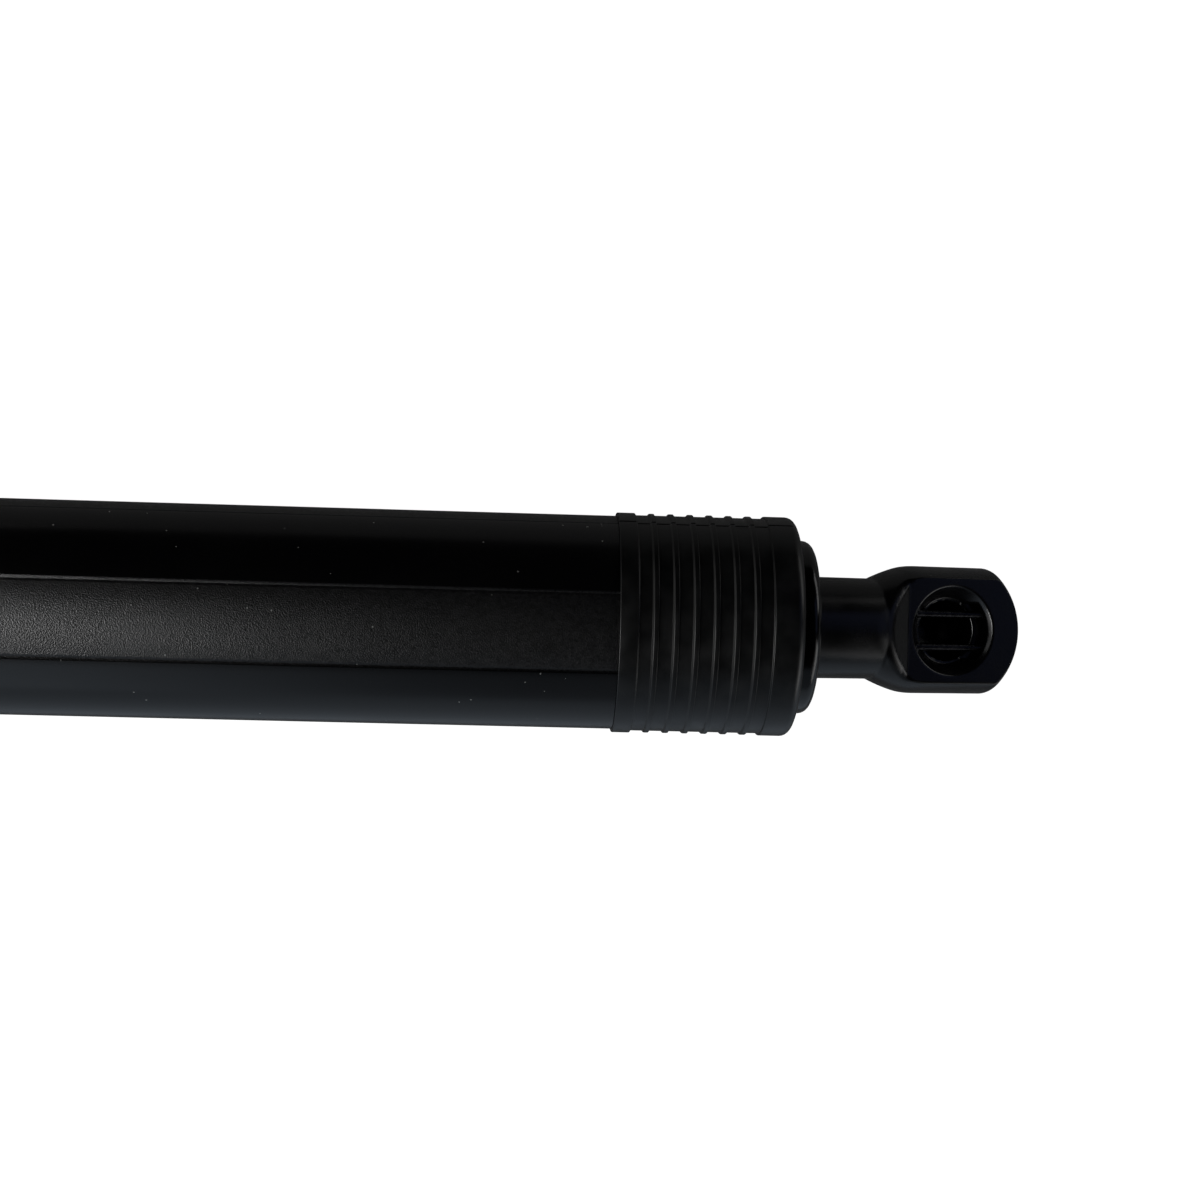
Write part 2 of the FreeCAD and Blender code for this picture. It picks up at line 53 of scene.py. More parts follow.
def meshPiece(name, points, faces, body, material, replaced, sharpAngle=32.0):
    # Points in mm and quads go into a mesh whose faces are turned outwards by its signed volume.
    points = np.asarray(points, float)
    faces = np.asarray(faces, int)
    a, b, c, d = (points[faces[:, corner]] for corner in range(4))
    volume = np.einsum("ij,ij->", a, np.cross(b, c)) + np.einsum("ij,ij->", a, np.cross(c, d))
    if volume < 0:
        faces = faces[:, ::-1]
    mesh = bpy.data.meshes.new(name)
    mesh.vertices.add(len(points))
    mesh.vertices.foreach_set("co", (points * millimetre).astype(np.float32).ravel())
    mesh.loops.add(faces.size)
    mesh.loops.foreach_set("vertex_index", faces.astype(np.int32).ravel())
    mesh.polygons.add(len(faces))
    mesh.polygons.foreach_set("loop_start", np.arange(0, faces.size, 4, dtype=np.int32))
    mesh.update(calc_edges=True)
    mesh.validate()
    mesh.shade_smooth()
    mesh.set_sharp_from_angle(angle=math.radians(sharpAngle))
    piece = bpy.data.objects.new(name, mesh)
    bpy.context.scene.collection.objects.link(piece)
    mesh.materials.append(material)
    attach(piece, body)
    if replaced:
        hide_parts(*replaced)
    return piece


def gridFaces(rows, columns, closedRows, closedColumns):
    # Quads between neighbouring points of a grid, joined end to start where it is closed.
    row = np.arange(rows if closedRows else rows - 1)
    column = np.arange(columns if closedColumns else columns - 1)
    row, column = np.meshgrid(row, column, indexing="ij")
    nextRow = (row + 1) % rows
    nextColumn = (column + 1) % columns
    corners = (
        row * columns + column, nextRow * columns + column,
        nextRow * columns + nextColumn, row * columns + nextColumn)
    return np.stack(corners, -1).reshape(-1, 4)


def cappedFaces(rows, sides):
    # The quads of an open tube of rings, with a strip of quads across its first and last ring.
    step = np.arange(sides // 2 - 1)
    cap = np.stack((step, step + 1, sides - 2 - step, sides - 1 - step), 1)
    return np.concatenate((gridFaces(rows, sides, False, True), cap[:, ::-1], cap + (rows - 1) * sides))


def roundedOutline(corners, steps=6):
    # Each corner is (x, radius, rounding). An arc that touches both sides takes its place.
    outline = []
    for index, (x, radius, rounding) in enumerate(corners):
        here = np.array((x, radius), float)
        if rounding == 0:
            outline.append(here[None])
            continue
        before = np.array(corners[index - 1][:2]) - here
        after = np.array(corners[(index + 1) % len(corners)][:2]) - here
        before /= np.linalg.norm(before)
        after /= np.linalg.norm(after)
        half = math.acos(float(np.clip(before @ after, -1, 1))) / 2
        middle = before + after
        middle /= np.linalg.norm(middle)
        centre = here + middle * rounding / math.sin(half)
        start = here + before * rounding / math.tan(half) - centre
        end = here + after * rounding / math.tan(half) - centre
        turn = math.pi - 2 * half
        share = np.linspace(0, 1, steps)[:, None]
        arc = np.sin((1 - share) * turn) * start + np.sin(share * turn) * end
        outline.append(centre + arc / math.sin(turn))
    return np.concatenate(outline)


def turnedPoints(outline, angles, dip=0.0, dipShare=0.0):
    # Turns an (x, radius) outline about the X axis. The angles run from +Y towards +Z, and dip
    # sinks the outline's points by an amount that depends on the angle.
    radius = outline[:, 1:2] - np.asarray(dipShare).reshape(-1, 1) * np.asarray(dip).reshape(1, -1)
    x = np.repeat(outline[:, :1], len(angles), 1)
    points = np.stack((x, radius * np.cos(angles), radius * np.sin(angles)), -1)
    return points.reshape(-1, 3)


def turnedPiece(name, corners, body, material, replaced, closed=True, place=None):
    # An outline of rounded corners, turned about the X axis. It is a closed ring, or else its
    # first and last corners are the rims of flat ends.
    sides = 192
    outline = roundedOutline(corners)
    points = turnedPoints(outline, np.linspace(0, 2 * math.pi, sides, endpoint=False))
    if place is not None:
        points = place(points)
    faces = gridFaces(len(outline), sides, True, True) if closed else cappedFaces(len(outline), sides)
    return meshPiece(name, points, faces, body, material, replaced)


def wireAlong(path, radius, sides):
    # A round wire along a path of points, with a domed cap at each end. Its sections keep
    # their turn from one point to the next.
    ahead = np.gradient(path, axis=0)
    ahead /= np.linalg.norm(ahead, axis=1)[:, None]
    up = np.array((0.0, 0.0, 1.0))
    across = np.cross(ahead, up)
    across /= np.linalg.norm(across, axis=1)[:, None]
    above = np.cross(across, ahead)
    poleAngle = 0.15
    domeRings = 4
    dome = np.linspace(poleAngle, math.pi / 2, domeRings + 1)[:-1]
    lengths = np.concatenate((-np.cos(dome), np.zeros(len(path)), np.cos(dome[::-1]))) * radius
    widths = np.concatenate((np.sin(dome), np.ones(len(path)), np.sin(dome[::-1]))) * radius
    pick = np.concatenate((np.zeros(len(dome), int), np.arange(len(path)), np.full(len(dome), len(path) - 1)))
    angles = np.linspace(0, 2 * math.pi, sides, endpoint=False)
    centre = path[pick] + ahead[pick] * lengths[:, None]
    ring = (
        across[pick][:, None] * np.cos(angles)[None, :, None]
        + above[pick][:, None] * np.sin(angles)[None, :, None])
    points = (centre[:, None] + ring * widths[:, None, None]).reshape(-1, 3)
    return points, len(pick)


def blendMin(a, b, reach):
    # The lesser of two distances, rounded where they are nearly equal.
    near = np.maximum(reach - np.abs(a - b), 0.0)
    return np.minimum(a, b) - near ** 2 / (4 * reach)


def blendMax(a, b, reach):
    # The greater of two distances, rounded in the same way.
    return -blendMin(-a, -b, reach)


def distanceSurface(distance, low, high, step):
    # The surface where a distance function is zero. Each grid cell that it crosses gets one
    # point, which slides down the function's slope onto the surface, and each grid edge that
    # it crosses gets one quad.
    axes = [np.arange(start, end + step, step) for start, end in zip(low, high)]
    inside = distance(*np.meshgrid(*axes, indexing="ij", sparse=True)) < 0
    cells = [size - 1 for size in inside.shape]
    count = np.zeros(cells, int)
    for x in (0, 1):
        for y in (0, 1):
            for z in (0, 1):
                count += inside[x:x + cells[0], y:y + cells[1], z:z + cells[2]]
    crossed = (count > 0) & (count < 8)
    number = np.full(crossed.shape, -1)
    number[crossed] = np.arange(crossed.sum())
    centre = (np.argwhere(crossed) + 0.5) * step + np.array(low)
    points = centre.copy()
    small = 0.02
    slides = 5
    leastSlope = 0.05
    farthest = 0.6 * step
    for _ in range(slides):
        value = distance(*points.T)
        slope = np.stack([
            distance(*(points + small * axis).T) - distance(*(points - small * axis).T)
            for axis in np.eye(3)], 1) / (2 * small)
        move = slope * (value / np.maximum((slope ** 2).sum(1), leastSlope))[:, None]
        points = centre + np.clip(points - move - centre, -farthest, farthest)
    quads = []
    for axis in range(3):
        lower = np.moveaxis(inside, axis, 0)[:-1, 1:-1, 1:-1]
        upper = np.moveaxis(inside, axis, 0)[1:, 1:-1, 1:-1]
        cell = np.moveaxis(number, axis, 0)
        around = np.stack((cell[:, :-1, :-1], cell[:, 1:, :-1], cell[:, 1:, 1:], cell[:, :-1, 1:]), -1)
        if axis == 1:
            around = around[..., ::-1]
        leaving = lower & ~upper
        entering = ~lower & upper
        quads += [around[leaving], around[entering][:, ::-1]]
    return points, np.concatenate(quads)


def gridStep(size):
    return size * 1.0


# Materials

def linearColour(code):
    # An sRGB hex colour as linear light.
    channels = [int(code[place:place + 2], 16) / 255 for place in (0, 2, 4)]
    return (*[c / 12.92 if c <= 0.04045 else ((c + 0.055) / 1.055) ** 2.4 for c in channels], 1.0)


def addNode(tree, kind, settings=None, links=None):
    # Adds a node, gives it its settings and input values, and links sockets into it.
    node = tree.nodes.new(kind)
    for key, value in (settings or {}).items():
        if isinstance(key, int) or key in node.inputs:
            node.inputs[key].default_value = value
        else:
            setattr(node, key, value)
    for key, source in (links or {}).items():
        tree.links.new(source, node.inputs[key])
    return node


def newMaterial(name, viewColour):
    # A material with an empty node tree, and with its colour for the plain view.
    material = bpy.data.materials.new(name)
    material.use_nodes = True
    material.diffuse_color = linearColour(viewColour)
    material.node_tree.nodes.clear()
    return material, material.node_tree


def perMetre(size):
    # A pattern whose feature is that many millimetres across.
    return 1.0 / (size * millimetre)


def surfaceMaterial(name, look):
    # Tone and gloss drift over patches, a fine grain gives the bump, and turning or drawing
    # marks run round or along the piece where the real one has them.
    material, tree = newMaterial(name, look["colours"][1])
    place = addNode(tree, "ShaderNodeTexCoord").outputs["Object"]
    patch = addNode(tree, "ShaderNodeTexNoise", {"Scale": perMetre(look["patch"]), "Detail": 4.0}, {
        "Vector": place})
    tone = addNode(tree, "ShaderNodeMix", {
        "data_type": "RGBA", 6: linearColour(look["colours"][0]), 7: linearColour(look["colours"][1])}, {
        0: patch.outputs["Fac"]})
    lowest, highest = look["roughness"]
    gloss = addNode(tree, "ShaderNodeMapRange", {
        "From Min": 0.3, "From Max": 0.7, "To Min": lowest, "To Max": highest}, {
        "Value": patch.outputs["Fac"]})
    stretched = addNode(tree, "ShaderNodeMapping", {"Scale": look.get("stretch", (1.0, 1.0, 1.0))}, {
        "Vector": place})
    grain = addNode(tree, "ShaderNodeTexNoise", {"Scale": perMetre(look["grain"]), "Detail": 2.0}, {
        "Vector": stretched.outputs["Vector"]})
    bump = addNode(tree, "ShaderNodeBump", {
        "Strength": look["relief"], "Distance": look["grain"] * millimetre}, {"Height": grain.outputs["Fac"]})
    shader = addNode(tree, "ShaderNodeBsdfPrincipled", {"Metallic": look.get("metallic", 0.0), "IOR": 1.5}, {
        "Base Color": tone.outputs[2], "Roughness": gloss.outputs["Result"],
        "Normal": bump.outputs["Normal"]})
    addNode(tree, "ShaderNodeOutputMaterial", {}, {"Surface": shader.outputs["BSDF"]})
    return material


def coverMaterial(name, look):
    # Polypropylene tube: smooth moulded lands that mirror the light softly, and strips whose
    # spark-eroded grain scatters it into a fine sparkle. A little dust lies on both.
    material, tree = newMaterial(name, look["land"])
    place = addNode(tree, "ShaderNodeTexCoord").outputs["Object"]
    strip = addNode(tree, "ShaderNodeAttribute", {"attribute_name": "strip"}).outputs["Fac"]
    patch = addNode(tree, "ShaderNodeTexNoise", {"Scale": perMetre(look["patch"]), "Detail": 3.0}, {
        "Vector": place})
    pits = addNode(tree, "ShaderNodeTexVoronoi", {"Scale": perMetre(look["grain"])}, {"Vector": place})
    pitTone = addNode(tree, "ShaderNodeSeparateColor", {}, {0: pits.outputs["Color"]}).outputs[0]
    stripTone = addNode(tree, "ShaderNodeMix", {
        "data_type": "RGBA", 6: linearColour(look["stripDark"]), 7: linearColour(look["stripLight"])}, {
        0: pitTone})
    tone = addNode(tree, "ShaderNodeMix", {"data_type": "RGBA", 6: linearColour(look["land"])}, {
        0: strip, 7: stripTone.outputs[2]})
    speck = addNode(tree, "ShaderNodeTexVoronoi", {"Scale": perMetre(look["dustSpacing"])}, {
        "Vector": place})
    dust = addNode(tree, "ShaderNodeMath", {
        "operation": "LESS_THAN", 1: look["dustSize"] / look["dustSpacing"]}, {
        0: speck.outputs["Distance"]}).outputs[0]
    dusty = addNode(tree, "ShaderNodeMix", {"data_type": "RGBA", 7: linearColour(look["dust"])}, {
        0: dust, 6: tone.outputs[2]})
    lowest, highest = look["landRoughness"]
    landGloss = addNode(tree, "ShaderNodeMapRange", {
        "From Min": 0.3, "From Max": 0.7, "To Min": lowest, "To Max": highest}, {
        "Value": patch.outputs["Fac"]})
    lowest, highest = look["stripRoughness"]
    stripGloss = addNode(tree, "ShaderNodeMapRange", {"To Min": lowest, "To Max": highest}, {
        "Value": pitTone})
    gloss = addNode(tree, "ShaderNodeMix", {"data_type": "FLOAT"}, {
        0: strip, 2: landGloss.outputs["Result"], 3: stripGloss.outputs["Result"]})
    relief = addNode(tree, "ShaderNodeMath", {"operation": "MULTIPLY", 1: look["stripRelief"]}, {0: strip})
    bump = addNode(tree, "ShaderNodeBump", {"Distance": look["grain"] * millimetre}, {
        "Height": pits.outputs["Distance"], "Strength": relief.outputs[0]})
    shader = addNode(tree, "ShaderNodeBsdfPrincipled", {"IOR": 1.49}, {
        "Base Color": dusty.outputs[2], "Roughness": gloss.outputs[0], "Normal": bump.outputs["Normal"]})
    addNode(tree, "ShaderNodeOutputMaterial", {}, {"Surface": shader.outputs["BSDF"]})
    return material


# The grain of the real strips is finer, and is drawn 0.22 mm across so that it shows.
mouldedCover = coverMaterial("polypropyleneMouldedAndGrained", {
    "land": "0b0b0d", "stripDark": "0a0a0b", "stripLight": "1b1b1d", "patch": 22.0, "grain": 0.22,
    "dust": "b4b4b0", "dustSpacing": 2.8, "dustSize": 0.13,
    "landRoughness": (0.2, 0.28), "stripRoughness": (0.3, 0.44), "stripRelief": 0.24})
# Satin moulding: soft, broad lights along the ribs, with cloudy patches from handling.
mouldedCollar = surfaceMaterial("polyamideMouldedSatin", {
    "colours": ("090a0b", "0e0f10"), "patch": 3.6, "roughness": (0.3, 0.42), "grain": 0.18, "relief": 0.08})
# Gloss moulding: nearly black, with crisp bright rims.
polishedPlug = surfaceMaterial("polyamideMouldedGloss", {
    "colours": ("060607", "09090a"), "patch": 12.0, "roughness": (0.12, 0.2), "grain": 0.5, "relief": 0.03})
# Glass fibre just under the skin of the moulding: dark with a silky gloss, and clear edges.
glassNylon = surfaceMaterial("glassFilledNylonMoulded", {
    "colours": ("09090b", "0d0d10"), "patch": 5.0, "roughness": (0.2, 0.28), "grain": 0.14, "relief": 0.08})
# A coarser mould: duller and a little greyer than the other mouldings.
capNylon = surfaceMaterial("polyamideMouldedCap", {
    "colours": ("0b0b0c", "101011"), "patch": 8.0, "roughness": (0.38, 0.5), "grain": 0.2, "relief": 0.15})
# Dull and soft, with no clear highlight.
blackRubber = surfaceMaterial("rubberMoulded", {
    "colours": ("0c0c0c", "131312"), "patch": 3.0, "roughness": (0.6, 0.75), "grain": 0.15, "relief": 0.2})
# Baked powder: slightly wavy, like fine orange peel.
coatedSteel = surfaceMaterial("steelTubePowderCoated", {
    "colours": ("0a0a0b", "0f0f10"), "patch": 15.0, "roughness": (0.26, 0.36), "grain": 0.35, "relief": 0.1})
# Wire drawn through a die: dark metal with faint streaks.
springWire = surfaceMaterial("springSteelDrawn", {
    "colours": ("242426", "38383b"), "patch": 1.5, "roughness": (0.2, 0.4), "grain": 0.8, "relief": 0.06,
    "metallic": 1.0})
# A thin phosphate coat: dark grey metal that scatters the light.
phosphatedWire = surfaceMaterial("springSteelPhosphated", {
    "colours": ("2a2b2c", "3a3b3c"), "patch": 2.0, "roughness": (0.45, 0.6), "grain": 0.15, "relief": 0.2,
    "metallic": 0.7})
# Zinc on drawn sheet: pale, cool and slightly cloudy.
platedSheet = surfaceMaterial("sheetSteelZincPlated", {
    "colours": ("a3a6a8", "c0c3c4"), "patch": 6.0, "roughness": (0.3, 0.42), "grain": 0.3, "relief": 0.1,
    "metallic": 1.0})
# Rings left by the tool run round the shaft.
turnedSteel = surfaceMaterial("steelTurnedAndGround", {
    "colours": ("9a9b9c", "b4b5b6"), "patch": 5.0, "roughness": (0.2, 0.32), "grain": 0.12, "relief": 0.12,
    "metallic": 1.0, "stretch": (1.0, 0.05, 0.05)})
# Pressed powder: warm grey metal with a sandy bloom.
sinteredSteel = surfaceMaterial("steelSintered", {
    "colours": ("77746e", "918e87"), "patch": 2.0, "roughness": (0.4, 0.55), "grain": 0.15, "relief": 0.3,
    "metallic": 1.0})
# Long drawing marks run along the tube.
drawnTube = surfaceMaterial("steelTubeDrawn", {
    "colours": ("848688", "9c9ea0"), "patch": 12.0, "roughness": (0.28, 0.38), "grain": 0.15, "relief": 0.12,
    "metallic": 1.0, "stretch": (0.03, 1.0, 1.0)})
# Sheets pressed in a stack: fine lines across the axis.
stackedSheet = surfaceMaterial("electricalSteelStacked", {
    "colours": ("4c4c4e", "68686a"), "patch": 4.0, "roughness": (0.4, 0.55), "grain": 0.5, "relief": 0.5,
    "metallic": 1.0, "stretch": (1.0, 0.02, 0.02)})
# Varnished copper: deep orange and glossy, with the wires' lines along the axis.
enamelledCopper = surfaceMaterial("copperWireEnamelled", {
    "colours": ("8a3f1c", "b45a2c"), "patch": 2.0, "roughness": (0.25, 0.38), "grain": 0.5, "relief": 0.6,
    "metallic": 0.9, "stretch": (0.1, 1.0, 1.0)})
# Pressed and fired: charcoal grey and matt.
pressedFerrite = surfaceMaterial("ferritePressed", {
    "colours": ("252526", "333335"), "patch": 2.0, "roughness": (0.55, 0.7), "grain": 0.2, "relief": 0.25})
# Pressed carbon: black with a faint sheen.
pressedCarbon = surfaceMaterial("carbonPressed", {
    "colours": ("151516", "202021"), "patch": 1.0, "roughness": (0.5, 0.65), "grain": 0.1, "relief": 0.2})
# Green solder mask: dark, smooth and glossy.
maskedBoard = surfaceMaterial("glassLaminateSolderMask", {
    "colours": ("0d4a24", "12602f"), "patch": 2.5, "roughness": (0.25, 0.35), "grain": 0.4, "relief": 0.15})
# Natural acetal: warm white with a waxy gloss.
paleAcetal = surfaceMaterial("acetalMoulded", {
    "colours": ("d9d6cc", "e5e2d9"), "patch": 8.0, "roughness": (0.32, 0.42), "grain": 0.2, "relief": 0.06})
# A plain inner moulding, dark grey and satin.
darkMoulding = surfaceMaterial("polyamideMouldedInner", {
    "colours": ("2a2b2d", "35363a"), "patch": 6.0, "roughness": (0.4, 0.52), "grain": 0.2, "relief": 0.15})
print("materials made")


# Cover tube: four strips sunk between four lands

cover = {
    "start": 160.9, "end": 395.7, "radius": 17.5, "bore": 15.7, "edge": 0.35,
    "strips": 4, "stripWidth": 43.3, "stripTurn": 94.7, "stripDepth": 0.2,
    "grooveDepth": 0.3, "bevelWidth": 0.4, "grooveWidth": 0.42, "farEdge": 0.1,
    "guideRing": (162.9, 168.9), "guideSeat": 16.2, "coarseTurn": 1.25, "fineReach": 1.0, "finePoints": 41}


def insideStrip(angles):
    # How far, in mm round the tube, a point is inside the nearest strip's edge.
    turn = 360.0 / cover["strips"]
    fromMiddle = np.abs((np.degrees(angles) - cover["stripTurn"] + turn / 2) % turn - turn / 2)
    return np.radians(cover["stripWidth"] / 2 - fromMiddle) * cover["radius"]


def stripDip(inside):
    # A bevel goes down from the land into a fine groove, and the strip lies a little above it.
    steps = (0.0, cover["bevelWidth"], cover["bevelWidth"] + cover["grooveWidth"])
    return np.interp(inside, steps, (0.0, cover["grooveDepth"], cover["stripDepth"]))


def makeCover():
    # The wall's outline turned about X, less the strips' dip on its outside. The section's
    # points lie closer together near the strips' edges.
    edges = cover["stripTurn"] + (cover["stripWidth"] / 2) * np.array((-1, 1))
    edges = (edges[None] + 360.0 / cover["strips"] * np.arange(cover["strips"])[:, None]).ravel()
    fine = np.linspace(-cover["fineReach"], cover["fineReach"], cover["finePoints"])
    fine = np.degrees(fine / cover["radius"])[None]
    angles = np.concatenate((np.arange(0, 360, cover["coarseTurn"]), (edges[:, None] + fine).ravel() % 360))
    angles = np.radians(np.unique(np.round(angles, 3)))
    outline = roundedOutline([
        (cover["start"], cover["radius"], cover["edge"]), (cover["end"], cover["radius"], cover["farEdge"]),
        (cover["end"], cover["bore"], 0), (cover["guideRing"][1], cover["bore"], 0),
        (cover["guideRing"][1], cover["guideSeat"], 0), (cover["guideRing"][0], cover["guideSeat"], 0),
        (cover["guideRing"][0], cover["bore"], 0), (cover["start"], cover["bore"], cover["edge"])])
    outer = (outline[:, 1] > (cover["radius"] + cover["guideSeat"]) / 2).astype(float)
    inside = insideStrip(angles)
    strip = np.clip(inside / cover["bevelWidth"], 0, 1)
    points = turnedPoints(outline, angles, stripDip(inside), outer)
    faces = gridFaces(len(outline), len(angles), True, True)
    piece = meshPiece("coverTube", points, faces, "rod_side", mouldedCover, ["cover_tube"])
    mask = piece.data.attributes.new("strip", "FLOAT", "POINT")
    mask.data.foreach_set("value", (outer[:, None] * strip[None]).astype(np.float32).ravel())


makeCover()
print("cover tube made")


# Ribbed collar: first band, six ribs and an end band with a round edge, with a mould line along it

collar = {
    "start": 395.7, "length": 28.8, "spigot": 7.0, "bore": 14.1, "spigotRadius": 15.7, "radius": 17.5,
    "bandHeight": 0.35, "bandEdge": 0.16, "bandRun": 0.1, "bandFoot": 0.12, "firstBand": 2.9,
    "endBand": 4.9, "endRounding": 1.45, "boreEdge": 0.3,
    "ribs": 6, "ribStart": 5.0, "ribPitch": 3.14, "ribWidth": 1.0, "ribHeight": 0.3,
    "ribFlanks": (0.26, 0.06), "ribEdges": (0.16, 0.05), "ribFoot": 0.05,
    "mouldLine": 25.0, "mouldLineDepth": 0.16, "mouldLineWidth": 0.9, "coarseTurn": 1.5, "finePoints": 21}


def makeCollar():
    # The outline of bands and ribs turned about X, less a narrow dip that falls off as a bell
    # curve on both sides of the mould line.
    floor = collar["radius"]
    band = floor + collar["bandHeight"]
    rib = floor + collar["ribHeight"]
    edge = collar["bandEdge"]
    start = collar["start"]
    end = start + collar["length"]
    endBand = end - collar["endBand"]
    rise, fall = collar["ribFlanks"]
    riseEdge, fallEdge = collar["ribEdges"]
    foot = collar["ribFoot"]
    corners = [
        (start - collar["spigot"], collar["spigotRadius"], collar["boreEdge"]),
        (start, collar["spigotRadius"], 0), (start, band, edge), (start + collar["firstBand"], band, edge),
        (start + collar["firstBand"] + collar["bandRun"], floor, collar["bandFoot"])]
    for index in range(collar["ribs"]):
        low = start + collar["ribStart"] + collar["ribPitch"] * index
        high = low + collar["ribWidth"]
        corners += [
            (low, floor, foot), (low + rise, rib, riseEdge),
            (high - fall, rib, fallEdge), (high, floor, foot)]
    corners += [
        (endBand - collar["bandRun"], floor, collar["bandFoot"]), (endBand, band, edge),
        (end, band, collar["endRounding"]), (end, collar["bore"], collar["boreEdge"]),
        (start - collar["spigot"], collar["bore"], 0)]
    outline = roundedOutline(corners, 7)
    line = collar["mouldLine"]
    width = collar["mouldLineWidth"]
    fine = line + np.linspace(-2 * width, 2 * width, collar["finePoints"])
    angles = np.concatenate((np.arange(0, 360, collar["coarseTurn"]), fine))
    angles = np.radians(np.unique(np.round(angles, 3)))
    fromLine = (np.degrees(angles) - line) / (width / 2)
    dip = collar["mouldLineDepth"] * np.exp(-fromLine ** 2)
    outer = (outline[:, 1] > collar["spigotRadius"] + collar["boreEdge"]).astype(float)
    points = turnedPoints(outline, angles, dip, outer)
    faces = gridFaces(len(outline), len(angles), True, True)
    meshPiece("ribbedCollar", points, faces, "rod_side", mouldedCollar, ["ribbed_collar"])


makeCollar()
print("collar made")


# Lid-end plug, whose glossy shoulder shows between the collar and the ball socket

plug = {
    "start": 412.9, "end": 427.6, "radius": 14.1, "rounding": 1.6, "tubeSeat": 6.6, "seatEnd": 418.9,
    "bore": 6.6, "boreDepth": 6.7, "boreEdge": 0.15, "backEdge": 0.3}

turnedPiece("lidPlug", [
    (plug["end"] - plug["boreDepth"], plug["bore"], 0), (plug["end"], plug["bore"], plug["boreEdge"]),
    (plug["end"], plug["radius"], plug["rounding"]), (plug["start"], plug["radius"], plug["backEdge"]),
    (plug["start"], plug["tubeSeat"], plug["backEdge"]), (plug["seatEnd"], plug["tubeSeat"], 0)],
    "rod_side", polishedPlug, ["lid_end_plug"], closed=False)
print("lid-end plug made")


# Ball sockets. Each is drawn about its own axis from the neck's seat, then canted and carried
# to its end of the strut.

socket = {
    "neck": 8.3, "head": 10.6, "flat": 6.1, "reach": 23.3, "dome": 13.6, "domeEdge": 0.35,
    "flareStart": 10.7, "flareLength": 6.4, "flareRise": 0.48, "flareRoot": 0.12, "flareEdge": 0.4,
    "flatStart": 15.1, "rampRun": 4.4, "rampEdge": 1.1, "flatEdge": 0.2, "rampRoot": 0.1,
    "pocket": 5.05, "throat": 5.45, "mouth": 7.4, "mouthDepth": 2.5, "rimEdge": 0.15, "cutEdge": 0.5,
    "slotWidth": 9.0, "slotHeight": 1.7, "slotStart": 3.0, "clipHeight": 4.2, "armOffset": 2.75,
    "guideHole": 0.65, "guideReach": 7.5, "spigot": 4.6, "spigotLength": 6.5,
    "overlap": 3.0, "edgeBlend": 1.0, "halfHeight": 9.8, "margin": 1.0, "grid": 0.2}
clip = {
    "wire": 0.6, "bow": 10.4, "armReach": 7.2, "corner": 1.6, "sides": 20, "armPoints": 30, "cornerPoints": 9}
fittings = {
    "upper": {
        "cant": 15.0, "seat": 427.6, "turned": False, "body": "rod_side", "clipBody": "upper_clip_body"},
    "lower": {
        "cant": 0.0, "seat": 23.3, "turned": True, "body": "motor_side", "clipBody": "lower_clip_body"}}


def socketDistance(x, y, z, cant):
    # Distance in mm to the socket's surface, negative inside: the turned neck, flare and head
    # inside the end dome, cut by both flats and both ramps, less the ball pocket, the clip's
    # slot and its guide holes.
    s = socket
    fromAxis = np.hypot(y, z)
    curve = (s["flareRise"] * s["flareLength"] - s["head"] + s["neck"]) / s["flareLength"] ** 2
    along = np.minimum(x - s["flareStart"], s["flareRise"] / (2 * curve))
    bent = np.maximum(along, 0.0)
    slope = s["flareRise"] - 2 * curve * bent
    flare = (fromAxis - (s["neck"] + s["flareRise"] * along - curve * bent ** 2)) / np.sqrt(1 + slope ** 2)
    head = blendMax(flare, fromAxis - s["head"], s["flareEdge"])
    neck = np.maximum(fromAxis - s["neck"], x - s["flareStart"] - s["overlap"])
    body = blendMin(head, neck, s["flareRoot"])
    fromBall = np.hypot(x - s["reach"], y)
    end = np.hypot(np.hypot(np.maximum(x - s["reach"], 0.0), y), z) - s["dome"]
    body = blendMax(body, end, s["domeEdge"])
    rampRise = s["neck"] - s["flat"]
    above = np.abs(z) - s["flat"]
    ramp = ((x - s["flatStart"]) * rampRise + above * s["rampRun"]) / math.hypot(rampRise, s["rampRun"])
    rampShare = np.clip((s["flatStart"] + s["edgeBlend"] - x) / (2 * s["edgeBlend"]), 0.0, 1.0)
    edge = s["flatEdge"] + (s["rampEdge"] - s["flatEdge"]) * rampShare
    body = blendMax(body, blendMin(above, ramp, s["rampRoot"]), edge)
    cup = np.where(z < 0, np.hypot(fromBall, z), fromBall) - s["pocket"]
    taper = (s["mouth"] - s["throat"]) / s["mouthDepth"]
    low = s["flat"] - s["mouthDepth"]
    cone = (fromBall - s["throat"] - taper * (z - low)) / math.hypot(1, taper)
    cup = np.minimum(cup, np.maximum(cone, low - z))
    slot = np.maximum(np.abs(y) - s["slotWidth"] / 2, np.abs(z - s["clipHeight"]) - s["slotHeight"] / 2)
    slot = np.maximum(slot, s["reach"] + s["slotStart"] - x)
    holes = np.hypot(np.abs(y) - s["armOffset"], z - s["clipHeight"]) - s["guideHole"]
    holes = np.maximum(holes, np.maximum(s["reach"] - s["guideReach"] - x, x - s["reach"]))
    cuts = blendMin(blendMin(cup, slot, s["cutEdge"]), holes, s["rimEdge"])
    body = blendMax(body, -cuts, s["rimEdge"])
    seat = -(x * math.cos(cant) + z * math.sin(cant))
    spigot = np.maximum(fromAxis - s["spigot"], np.maximum(-s["spigotLength"] - x, x - s["overlap"]))
    return np.minimum(np.maximum(body, seat), spigot)


